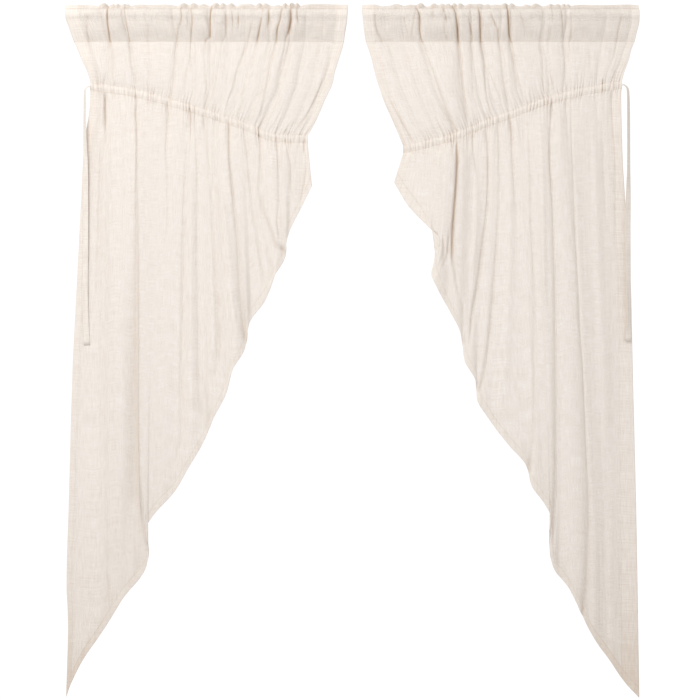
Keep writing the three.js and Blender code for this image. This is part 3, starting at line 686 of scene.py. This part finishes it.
def hang_cloth(hand, side):
    """The cloth's outer face as rows of points, its columns, where its parts start, and its creases."""
    panel = {name: table(text) for name, text in PANELS[hand].items()}
    outer, inner = curve(panel["outer_side"]), curve(panel["inner_side"])
    channel, ruffle = curve(panel["channel"]), curve(panel["ruffle"])
    columns, creased = fold_columns(panel), lay_creases(hand, side)
    first, last = columns[0]["at"], columns[-1]["at"]
    (mouth_out, mouth_down), (tip_down, tip_out) = panel["channel"][0], panel["hem"][0]

    def share_of(out, down):
        return (outer(down) - out) / (outer(down) - inner(down))

    def out_at(share, down):
        return mix(outer(down), inner(down), share)

    for column in columns:
        column["middle"] = channel(column["at"])
        column["pocket_share"] = share_of(column["pocket"], POCKET_STITCH)
        column["channel_top"] = column["middle"] - CHANNEL_HEIGHT / 2
        column["channel_share"] = share_of(column["at"], column["channel_top"])
        column["tail_top"] = column["middle"] + CHANNEL_HEIGHT / 2
        column["length"] = column["hem"] - column["tail_top"]
        column["hem_band"] = min(SLANT_HEM / SLANT_OF_HEM, HEM_SHARE * column["length"])

    def face_point(out, down, height, deepest=DEEPEST):
        height = max(height - creased(out, down)[0] * LEFT_OF_CREASE, -deepest)
        return hang_point(side, out, down, FACE_AT_STITCH + height)

    def pocket_point(column, row, facing):
        forward, down, gathered, ruffled = row
        out = out_at(column["pocket_share"], down)
        crease = creased(out, down)[0] * LEFT_OF_CREASE
        height = stands_out(column, lambda levels: levels[0], TUCK_WIDTH, LEFT_AT_SEWING)
        if facing > 0:
            height = max(0, height * gathered - crease)
        else:
            height *= gathered * BACK_BULGE
        loop = ruffle(out)
        rise = LOOP_TOP * (1 - (1 - loop / LOOP_LEVEL) ** 2) * ruffled
        sway = (loop - LOOP_MIDDLE) * ruffled - min(crease, CREASE_IN_RUFFLE) * ruffled
        return hang_point(side, out, down - rise, facing * (forward + height) + sway)

    def skirt_point(column, share):
        down = mix(POCKET_STITCH, column["channel_top"], share)
        out = out_at(mix(column["pocket_share"], column["channel_share"], share), down)
        belly = 4 * share * (1 - share)
        height = stands_out(
            column,
            lambda levels: (mix(levels[0] * LEFT_AT_POCKET, levels[1] * LEFT_AT_CHANNEL, share)
                            + levels[1] * belly * SKIRT_SWELL),
            mix(mix(TUCK_WIDTH, GATHER_WIDTH, share), SKIRT_WIDTH, belly),
            mix(LEFT_AT_SEWING, LEFT_IN_BELLY, belly))
        return face_point(out, down, height, DEEPEST * min(1, 4 * share))

    def channel_point(column, share):
        height = stands_out(column, lambda levels: levels[1] * LEFT_AT_CHANNEL, GATHER_WIDTH, LEFT_AT_SEWING)
        down = mix(column["channel_top"], column["tail_top"], share)
        return face_point(column["at"], down, height)

    def tail_point(column, share):
        down = mix(column["tail_top"], column["hem"], share)
        inward = (first - column["at"]) / (first - last)
        straight = mix(mouth_out, tip_out, (down - mouth_down) / (tip_down - mouth_down))
        bend = (outer(down) - straight) * (1 - inward) ** 2
        out = mix(column["at"], column["even_out"], share) + bend
        out += (column["hem_out"] - column["even_out"]) * share ** STEEP_POWER
        below = share * column["length"]
        lowered = min(below / (column["even_hem"] - column["tail_top"]), 1)
        opened = math.sin(math.pi / 2 * min(lowered / TAIL_OPEN, 1))
        height = stands_out(
            column,
            lambda levels: mix(levels[1] * LEFT_AT_CHANNEL, mix(levels[2], levels[3], lowered ** 3), opened),
            mix(TAIL_WIDTH, HEM_WIDTH, lowered ** 2)
            + (GATHER_WIDTH - TAIL_WIDTH) * math.exp(-below / GATHERS_FADE),
            mix(LEFT_AT_SEWING, mix(LEFT_IN_TAIL, LEFT_AT_HEM, lowered ** 3), opened),
            mix(TROUGH_ROUNDING, TAIL_ROUNDING, opened))
        return face_point(out, down, height)

    section = pocket_section()
    rows = [[pocket_point(c, row, -1) for c in columns] for row in reversed(section[:1] + section[2::2])]
    starts = {"fold": len(rows)}
    fold_row = (0, -HEADER_TOP - FACE_AT_STITCH * RUFFLE_FOLD, 0, 1)
    rows += [[pocket_point(c, row, 1) for c in columns] for row in (fold_row, *section)]
    starts["skirt"] = len(rows)
    rows += [[skirt_point(c, n / SKIRT_ROWS) for c in columns] for n in range(1, SKIRT_ROWS)]
    starts["channel"] = len(rows)
    rows += [[channel_point(c, n / CHANNEL_ROWS) for c in columns] for n in range(CHANNEL_ROWS + 1)]
    for n in range(1, TAIL_ROWS + 1):
        share = (n / TAIL_ROWS) ** TAIL_CROWDING
        rows.append([tail_point(c, share * (1 - c["hem_band"] / c["length"])) for c in columns])
    for n in HEM_ROWS:
        rows.append([tail_point(c, 1 - c["hem_band"] / c["length"] * (1 - n)) for c in columns])
    return rows, columns, starts, creased


def faces_out(rows, side):
    """The direction out of the cloth's face at each of its points."""
    out = []
    for j, row in enumerate(rows):
        above, below = rows[max(j - 1, 0)], rows[min(j + 1, len(rows) - 1)]
        ways = []
        for i in range(len(row)):
            across = row[min(i + 1, len(row) - 1)] - row[max(i - 1, 0)]
            ways.append(side * across.cross(below[i] - above[i]).normalized())
        out.append(ways)
    return out


# The burlap's yarn in the same way
YARN_PITCH = 1.8
YARN_WANDER = 0.9
YARN_DARK = (0.81, 0.725, 0.65, 1)
YARN_LIGHT = (0.92, 0.855, 0.79, 1)
YARN_TONES = (0.34, 0.66)
# How covered a spot is at a hole's edge, how closed a hem is, and how often in a metre, in what detail and by
# how much that varies
HOLE_EDGE = (0.43, 0.53)
HEM_CLOSED = 0.95
UNEVENNESS = ((160.0, 2.0, 0.4), (28.0, 3.0, 0.5))
# The stitching in mm: a stitch and the share of it that shows, how far it runs inside a hem's edge and the
# channel's, half the thread's width, and where its groove's sides are
STITCH = 3.2
STITCH_SHOWN = 0.68
HEM_STITCH_IN = 2
CHANNEL_STITCH_IN = 0.5
THREAD_HALF_WIDTH = 0.5
GROOVE_SIDES = (0.4, 1.5)
# How much each row of it shows: the pocket's, the header's, the side hems', the slanting hem's and the
# channel's upper and lower one
ROWS_SHOW = (0.5, 0.7, 0.22, 0.3, 0.25, 0.5)
# Tints of the painted shade at the low end, on the hems near the tip and in the grooves, of the thread,
# and of the painted shade in the deep tucks, and the heights in metres over which the first two come in
# painted shade, darker towards the low end of the cloth
LOW_END_SHADE, LOW_END_SHADE_AT = (0.965, 0.955, 0.945, 1), (-1.95, -1.3)
# painted shade on the hems near the tip
TIP_HEM_SHADE, TIP_HEM_SHADE_AT = (0.90, 0.86, 0.82, 1), (-2.09, -1.75)
# painted shade in the stitching's grooves
GROOVE_SHADE = (0.78, 0.71, 0.63, 1)
THREAD = (1.1, 1.12, 1.14, 1)
# painted shade in the deep tucks, the creases and between the channel's puckers
TUCK_SHADE = (0.62, 0.50, 0.38, 1)


def burlap_material():
    """Natural off-white burlap: an open weave of uneven yarn, doubled at its hems, and stitched, with painted
    shade in its tucks, creases and grooves, towards its low end and on its hems near the tip.
    """
    material, tree, shader = start_material("burlap")
    flat, height, cover, tone = plain_weave(tree, YARN_PITCH, YARN_WANDER)
    hem_lines = add(tree, "ShaderNodeAttribute", {}, attribute_name="hem_lines").outputs["Vector"]
    from_side, from_hem, below_channel = add(tree, "ShaderNodeSeparateXYZ", {0: hem_lines}).outputs
    in_channel = reckon(tree, "LESS_THAN", reckon(tree, "ABSOLUTE", below_channel), CHANNEL_HEIGHT / 2 * MM)
    turned_in = reckon(tree, "MAXIMUM", reckon(tree, "LESS_THAN", from_side, SIDE_HEM * MM),
                       reckon(tree, "LESS_THAN", from_hem, SLANT_HEM * MM))
    doubled = reckon(tree, "MAXIMUM", turned_in, in_channel)

    # holes between the yarns
    for scale, detail, amount in UNEVENNESS:
        uneven = speckle(tree, flat, scale, detail).outputs[0]
        cover = reckon(tree, "ADD", cover, reckon(tree, "MULTIPLY_ADD", uneven, amount, -amount / 2))
    closed = smooth_step(tree, cover, *HOLE_EDGE)
    closed = reckon(tree, "MAXIMUM", closed, reckon(tree, "MULTIPLY", doubled, HEM_CLOSED))

    # rows of stitching, each a shallow groove with the thread lying in it; the groove's colour is darkened by
    # painted shade
    place = add(tree, "ShaderNodeTexCoord", {}).outputs["Object"]
    level = add(tree, "ShaderNodeSeparateXYZ", {0: place}).outputs[2]
    across, along, _ = add(tree, "ShaderNodeSeparateXYZ", {0: flat}).outputs
    run = reckon(tree, "MULTIPLY", reckon(tree, "ADD", across, along), 1 / (STITCH * MM))
    stitch = reckon(tree, "LESS_THAN", reckon(tree, "FRACT", run), STITCH_SHOWN)
    channel_stitch = CHANNEL_HEIGHT / 2 - CHANNEL_STITCH_IN
    sewn = ((level, -POCKET_STITCH), (level, HEADER_STITCH), (from_side, SIDE_HEM - HEM_STITCH_IN),
            (from_hem, SLANT_HEM - HEM_STITCH_IN), (below_channel, -channel_stitch),
            (below_channel, channel_stitch))
    groove = thread = 0.0
    for (line, at), shows in zip(sewn, ROWS_SHOW):
        off = reckon(tree, "ABSOLUTE", reckon(tree, "SUBTRACT", line, at * MM))
        sunk = reckon(tree, "SUBTRACT", 1.0, smooth_step(tree, off, *(edge * MM for edge in GROOVE_SIDES)))
        groove = reckon(tree, "MAXIMUM", groove, reckon(tree, "MULTIPLY", sunk, shows))
        lies = reckon(tree, "MULTIPLY", stitch, reckon(tree, "LESS_THAN", off, THREAD_HALF_WIDTH * MM))
        thread = reckon(tree, "MAXIMUM", thread, reckon(tree, "MULTIPLY", lies, shows))

    colour = blend(tree, smooth_step(tree, tone, *YARN_TONES), YARN_DARK, YARN_LIGHT)
    tuck_shade = add(tree, "ShaderNodeAttribute", {}, attribute_name="tuck_shade").outputs["Fac"]
    # how much of the painted shade towards the low end and near the tip each place gets
    low, tip = (reckon(tree, "SUBTRACT", 1.0, smooth_step(tree, level, *span))
                for span in (LOW_END_SHADE_AT, TIP_HEM_SHADE_AT))
    # every tint here but the thread's is painted shade
    for share, tint in (
        (low, LOW_END_SHADE), (reckon(tree, "MULTIPLY", turned_in, tip), TIP_HEM_SHADE), (groove, GROOVE_SHADE),
        (thread, THREAD), (tuck_shade, TUCK_SHADE),
    ):
        colour = blend(tree, share, colour, tint, how="MULTIPLY")
    tree.links.new(closed, shader.inputs["Alpha"])
    height = reckon(tree, "SUBTRACT", height, reckon(tree, "SUBTRACT", groove, thread))
    finish_material(tree, shader, colour, height, strength=0.4, relief=0.5, roughness=0.95, shine=0.1)
    return material


# The cloth's own fine ripples in mm: how high they are, the share, width, length and seed of each kind, and
# how far from the stitching and from the channel they come in
RIPPLE = 0.45
RIPPLES = ((1, 15, 330, 5.0), (0.3, 6, 160, 9.0))
RIPPLES_FROM_STITCH = 25
RIPPLES_FROM_CHANNEL = 20
# The channel's puckers in mm: how wide and high one is, how far up and down it is felt, how sharp it is and
# what is taken off it, how much they wander and lean, and their least, usual and added size
PUCKER = 11.0
PUCKER_HEIGHT = 4.2
PUCKER_UP = 30
PUCKER_DOWN = 14
PUCKER_SHAPE = (0.7, 0.62)
PUCKER_WANDER = 1.5
PUCKER_LEAN = 30
PUCKER_SIZES = (0.4, 0.75, 0.9)
# The same of the broader ones between them, which start outside the channel and go on further
BROAD_HEIGHT = 1.3
BROAD_START = 12
BROAD_REACH = 60
BROAD_SHAPE = (0.8, 0.6)
BROAD_SHIFT = 0.4
# The cloth puffs up in the channel, sinks at its stitching and sags, more so under a ridge
CHANNEL_PUFF = 2.2
PUFF_EDGE = 3
STITCH_SINKS = 0.7
STITCH_REACH = 6
SAG = 2.2
SAG_REACH = 10
SAG_OF_RIDGE = 0.6
# Over how many mm the wander, the lean, the size and the sag change, and the seed of each
WANDERS, LEANS, SIZES, SAGS = (31, 3.1), (17, 4.3), (19, 7.7), (7, 1.3)
# How much painted shade goes into the tucks of the pocket, the creases below it and the hollows between the
# channel's puckers, how far up a pucker's side it comes, and over how many mm outside the channel it fades
SHADE_IN_POCKET = 0.45
SHADE_BELOW = 0.2
SHADE_BETWEEN = 0.3
SHADE_RIDGE = 0.5
SHADE_REACH = 12


def drift(at, side, kind):
    """A slow change of this kind along the cloth, to both sides of 0."""
    length, seed = kind
    return noise.noise(Vector((at / length, side * seed, 0)))


def ripple(at, down, side):
    """How far the cloth's own ripples lift it."""
    lift = 0.0
    for share, width, length, seed in RIPPLES:
        lift += RIPPLE * share * noise.noise(Vector((at / width, down / length, side * seed)))
    return lift * min(1, abs(down - POCKET_STITCH) / RIPPLES_FROM_STITCH)


def pucker(at, off, side):
    """How far the channel lifts the cloth, how far it sags and the painted shade between its puckers, this
    far below its middle.
    """
    outside = max(0.0, abs(off) - CHANNEL_HEIGHT / 2)
    phase = at / PUCKER + PUCKER_WANDER * drift(at, side, WANDERS)
    phase += off / PUCKER_LEAN * drift(at, side, LEANS)
    least, usual, added = PUCKER_SIZES
    size = max(least, usual + added * drift(at, side, SIZES))
    ridge = abs(math.sin(math.pi * phase))
    fine = ridge ** PUCKER_SHAPE[0] - PUCKER_SHAPE[1]
    broad = abs(math.sin(math.pi * phase / 2 + BROAD_SHIFT)) ** BROAD_SHAPE[0] - BROAD_SHAPE[1]
    lift = PUCKER_HEIGHT * size * fine * math.exp(-outside / (PUCKER_UP if off < 0 else PUCKER_DOWN))
    lift += BROAD_HEIGHT * broad * math.exp(-outside / BROAD_REACH) * min(1, outside / BROAD_START)
    if outside < PUFF_EDGE:
        lift += CHANNEL_PUFF * math.cos(math.pi * off / (CHANNEL_HEIGHT + PUFF_EDGE)) ** 2
    lift -= STITCH_SINKS * math.exp(-outside / STITCH_REACH)
    sag = SAG * (drift(at, side, SAGS) + SAG_OF_RIDGE * (ridge - SAG_OF_RIDGE))
    sag *= math.exp(-outside / SAG_REACH)
    # painted shade in the hollows between the puckers
    dark = SHADE_BETWEEN * size * max(0, 1 - ridge / SHADE_RIDGE) * math.exp(-outside / SHADE_REACH)
    return lift, sag, dark, min(1, outside / RIPPLES_FROM_CHANNEL)


def draw_in(rows, columns, starts, creased, outward, side):
    """Ripples and puckers the cloth, and tells how much painted shade each point gets and how far below its
    channel it is, in m.
    """
    shade_at, below = ([[start] * len(columns) for _ in rows] for start in (0.0, 1.0))
    for j in range(starts["fold"] + 1, len(rows)):
        for i, column in enumerate(columns):
            point = rows[j][i]
            down = -point.z / MM
            lift = ripple(column["at"], down, side)
            # the painted shade the creases give this point, scaled in the pocket and below it
            dark = creased(side * point.x / MM, down)[1]
            if j < starts["skirt"]:
                dark *= SHADE_IN_POCKET
            else:
                off = down - column["middle"]
                lifted, sag, darker, rippled = pucker(column["at"], off, side)
                lift = lift * rippled + lifted
                dark = min(1, dark * SHADE_BELOW) + darker
                point.z -= sag * MM
                below[j][i] = off * MM
            rows[j][i] = point + outward[j][i] * lift * MM
            shade_at[j][i] = min(1, dark)
    return shade_at, below


def laid_flat(rows, starts):
    """How far across the cloth each column is, and how far down from the fold each point, when laid flat."""
    middle = rows[starts["skirt"] + SKIRT_ROWS // 2]
    across = [0.0]
    for a, b in zip(middle, middle[1:]):
        across.append(across[-1] + (b - a).length)
    down = [[0.0] * len(across) for _ in rows]
    for step, way in ((1, range(starts["fold"] + 1, len(rows))), (-1, range(starts["fold"] - 1, -1, -1))):
        for j in way:
            for i in range(len(across)):
                down[j][i] = down[j - step][i] + step * (rows[j][i] - rows[j - step][i]).length
    return across, down


def mark_hems(cloth, columns, starts, across, shade_at, below):
    """Marks on each point how far the side hems, slanting hem and channel are and its painted shade. Hems
    are two layers thick and the rest one."""
    lines, painted_shade, layers = [], [], {CLOTH / HEM_THICKNESS: [], 1.0: []}
    for n, corner in enumerate(cloth.data.vertices):
        j, i = divmod(n, len(columns))
        j = len(below) - 1 - j
        from_side = min(across[i], across[-1] - across[i])
        from_hem = (columns[i]["hem"] * MM + corner.co.z) * SLANT_OF_HEM if j > starts["fold"] else 1.0
        lines += [from_side, from_hem, below[j][i]]
        painted_shade.append(shade_at[j][i])
        turned_in = from_side < SIDE_HEM * MM or from_hem < SLANT_HEM * MM
        layers[1.0 if turned_in else CLOTH / HEM_THICKNESS].append(n)
    cloth.data.attributes.new("hem_lines", "FLOAT_VECTOR", "POINT").data.foreach_set("vector", lines)
    # the painted shade of the creases and of the hollows between the puckers
    cloth.data.attributes.new("tuck_shade", "FLOAT", "POINT").data.foreach_set("value", painted_shade)
    group = cloth.vertex_groups.new(name="layers")
    for share, points in layers.items():
        group.add(points, share, "REPLACE")


def thicken(cloth, thickness):
    """Gives the cloth its thickness in mm, behind its face."""
    walls = cloth.modifiers.new("thickness", "SOLIDIFY")
    walls.thickness = thickness * MM
    walls.offset = -1
    return walls


burlap = burlap_material()
hung = {}
for hand, side in SIDES.items():
    rows, columns, starts, creased = hang_cloth(hand, side)
    outward = faces_out(rows, side)
    shade_at, below = draw_in(rows, columns, starts, creased, outward, side)
    across, down = laid_flat(rows, starts)
    weave = [[(a, -d) for a, d in zip(across, row)] for row in down]
    cloth = cloth_grid(f"burlap_panel_{hand}", rows, weave, mirrored=side > 0)
    cloth.data.materials.append(burlap)
    mark_hems(cloth, columns, starts, across, shade_at, below)
    thicken(cloth, HEM_THICKNESS).vertex_group = "layers"
    sewn = slice(starts["channel"], starts["channel"] + CHANNEL_ROWS + 1)
    hung[hand] = (rows[sewn], outward[sewn], across)
    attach(cloth, "root")
    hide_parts(f"panel_{hand}")

# The channel strips: for each panel a straight strip of the tie's closer cloth, sewn along both edges to the
# panel's back along the slant. The tie runs between the two, and the strip is gathered with the cloth.
STRIP_THICKNESS = 1.2
STRIP_BEHIND = 1.3
STRIP_BELLY = 2.4

for hand, side in SIDES.items():
    face, outward, across = hung[hand]
    belt, weave = [], []
    for j, (points, ways) in enumerate(zip(face, outward)):
        behind = STRIP_BEHIND + STRIP_BELLY * math.sin(math.pi * j / CHANNEL_ROWS)
        belt.append([point - way * behind * MM for point, way in zip(points, ways)])
        weave.append([(a, -CHANNEL_HEIGHT * MM * j / CHANNEL_ROWS) for a in across])
    strip = cloth_grid(f"sewn_strip_{hand}", belt, weave, mirrored=side > 0)
    strip.data.materials.append(tape)
    thicken(strip, STRIP_THICKNESS)
    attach(strip, "root")
    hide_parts(f"channel_strip_{hand}")

# The studio: a plain white sweep of light all round, a broad soft light from the upper left and a weak one
# from the right, over a plain pale floor a little below the tips. Lengths are in metres.
FLOOR_LEVEL = -2.42
FLOOR_HALF_WIDTH = 3.2
FLOOR_HALF_DEPTH = 2.4
FLOOR_SHIFT = -0.85
FLOOR_GREY = (0.74, 0.74, 0.74, 1)
LIT_AT = (0, 0, -0.9)
# the sweep as it lights the cloth, and as the camera sees it
SWEEP_GLOW = 0.74
SWEEP_SEEN = 1.05

sweep = bmesh.new()
bmesh.ops.create_grid(sweep, x_segments=2, y_segments=2, size=1)
for corner in sweep.verts:
    corner.co = (corner.co.x * FLOOR_HALF_WIDTH, corner.co.y * FLOOR_HALF_DEPTH + FLOOR_SHIFT, FLOOR_LEVEL)
floor = as_piece("floor", sweep, lambda face: False)
pale, tree, shader = start_material("floor")
shader.inputs["Base Color"].default_value = FLOOR_GREY
shader.inputs["Roughness"].default_value = 0.8
floor.data.materials.append(pale)

for name, place, size, power in (("key", (-1.9, -3.2, 2.0), 2.0, 90), ("fill", (3.2, -4.2, -0.6), 2.5, 9)):
    lamp = bpy.data.lights.new(name, "AREA")
    lamp.size = size
    lamp.energy = power
    light = bpy.data.objects.new(name, lamp)
    light.location = place
    light.rotation_euler = (Vector(LIT_AT) - Vector(place)).to_track_quat("-Z", "Y").to_euler()
    bpy.context.scene.collection.objects.link(light)

world = bpy.data.worlds.new("studio")
bpy.context.scene.world = world
world.use_nodes = True
tree = world.node_tree
tree.nodes.clear()
seen = add(tree, "ShaderNodeLightPath", {}).outputs["Is Camera Ray"]
glow = add(tree, "ShaderNodeMix", {0: seen, 2: SWEEP_GLOW, 3: SWEEP_SEEN}, data_type="FLOAT").outputs[0]
sky = add(tree, "ShaderNodeBackground", {"Color": (1, 1, 1, 1), "Strength": glow})
add(tree, "ShaderNodeOutputWorld", {"Surface": sky.outputs[0]})
bpy.context.scene.view_settings.view_transform = "Standard"
